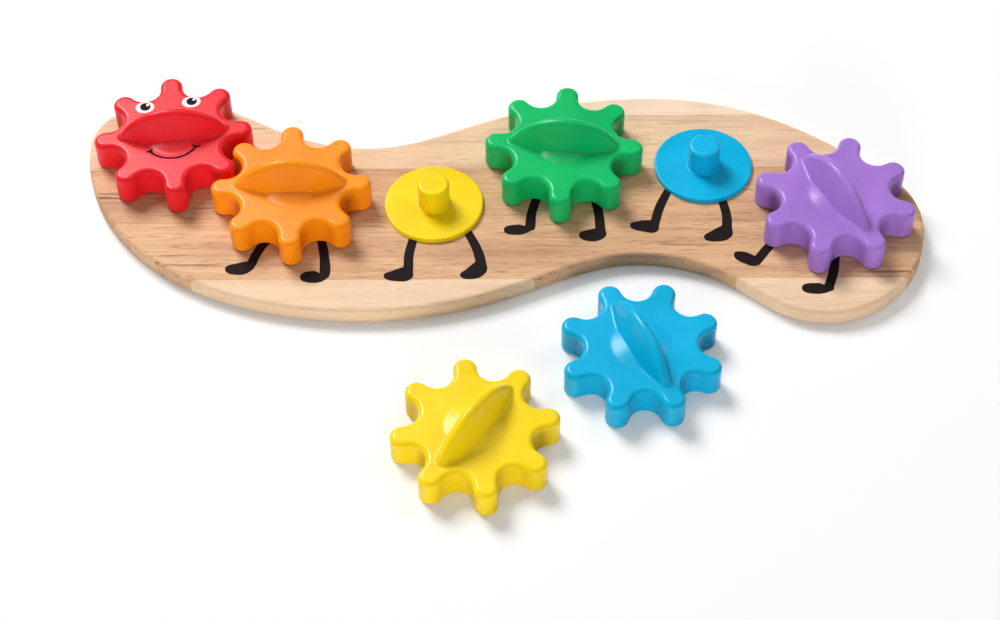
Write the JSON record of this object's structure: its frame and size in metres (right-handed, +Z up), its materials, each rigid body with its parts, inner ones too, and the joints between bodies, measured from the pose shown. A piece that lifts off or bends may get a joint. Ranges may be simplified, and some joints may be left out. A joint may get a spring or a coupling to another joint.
{
  "type": "lift-off gear board toy",
  "caption": "Wavy wooden board with a row of pegged discs and chunky round-toothed plastic gears that lift off, mesh and turn by their grip ridges.",
  "frame": {"origin": "on the board's underside, midway between the first and the last post", "axes": "+X along the board towards the purple gear, +Y towards the back edge, +Z up through the pegs"},
  "size_m": [0.3918, 0.2429, 0.0392],
  "materials": {
    "wood": "satin lacquered rubberwood",
    "plastic_red": "satin moulded plastic",
    "plastic_orange": "satin moulded plastic",
    "plastic_yellow": "satin moulded plastic",
    "plastic_green": "satin moulded plastic",
    "plastic_blue": "satin moulded plastic",
    "plastic_purple": "satin moulded plastic",
    "steel": "zinc plated",
    "ink_dark": "printed ink",
    "ink_white": "printed ink"
  },
  "bodies": {
    "board": {"board": "wood"},
    "hub_red": {"hub_red": "plastic_red", "washer_red": "steel", "screw_red": "steel"},
    "hub_orange": {"hub_orange": "plastic_orange", "washer_orange": "steel", "screw_orange": "steel"},
    "hub_yellow": {"hub_yellow": "plastic_yellow", "washer_yellow": "steel", "screw_yellow": "steel"},
    "hub_green": {"hub_green": "plastic_green", "washer_green": "steel", "screw_green": "steel"},
    "hub_blue": {"hub_blue": "plastic_blue", "washer_blue": "steel", "screw_blue": "steel"},
    "hub_purple": {"hub_purple": "plastic_purple", "washer_purple": "steel", "screw_purple": "steel"},
    "gear_red": {"gear_red": "plastic_red", "gear_base_red": "plastic_red"},
    "gear_orange": {"gear_orange": "plastic_orange", "gear_base_orange": "plastic_orange"},
    "gear_yellow": {"gear_yellow": "plastic_yellow", "gear_base_yellow": "plastic_yellow"},
    "gear_green": {"gear_green": "plastic_green", "gear_base_green": "plastic_green"},
    "gear_blue": {"gear_blue": "plastic_blue", "gear_base_blue": "plastic_blue"},
    "gear_purple": {"gear_purple": "plastic_purple", "gear_base_purple": "plastic_purple"}
  },
  "joints": [
    {"name": "spin_red", "type": "hinge", "parent": "board", "child": "hub_red", "pos_m": [-0.15392, -0.00067, 0.009], "axis": [0, 0, 1], "continuous": true},
    {"name": "spin_orange", "type": "hinge", "parent": "board", "child": "hub_orange", "pos_m": [-0.09334, -0.02478, 0.009], "axis": [0, 0, 1], "continuous": true},
    {"name": "spin_yellow", "type": "hinge", "parent": "board", "child": "hub_yellow", "pos_m": [-0.02863, -0.01683, 0.009], "axis": [0, 0, 1], "continuous": true},
    {"name": "spin_green", "type": "hinge", "parent": "board", "child": "hub_green", "pos_m": [0.02767, 0.01606, 0.009], "axis": [0, 0, 1], "continuous": true},
    {"name": "spin_blue", "type": "hinge", "parent": "board", "child": "hub_blue", "pos_m": [0.09254, 0.02265, 0.009], "axis": [0, 0, 1], "continuous": true},
    {"name": "spin_purple", "type": "hinge", "parent": "board", "child": "hub_purple", "pos_m": [0.15392, 0.00067, 0.009], "axis": [0, 0, 1], "continuous": true},
    {"name": "lift_red", "type": "slide", "parent": "hub_red", "child": "gear_red", "axis": [0, 0, 1], "range_m": [0, 0.045]},
    {"name": "lift_orange", "type": "slide", "parent": "hub_orange", "child": "gear_orange", "axis": [0, 0, 1], "range_m": [0, 0.045]},
    {"name": "lift_yellow", "type": "slide", "parent": "board", "child": "gear_yellow", "axis": [0, 0, 1], "range_m": [0, 0.045]},
    {"name": "lift_green", "type": "slide", "parent": "hub_green", "child": "gear_green", "axis": [0, 0, 1], "range_m": [0, 0.045]},
    {"name": "lift_blue", "type": "slide", "parent": "board", "child": "gear_blue", "axis": [0, 0, 1], "range_m": [0, 0.045]},
    {"name": "lift_purple", "type": "slide", "parent": "hub_purple", "child": "gear_purple", "axis": [0, 0, 1], "range_m": [0, 0.045]}
  ],
  "couplings": [
    {"joint": "spin_orange", "follows": "spin_red", "ratio": -1}
  ]
}
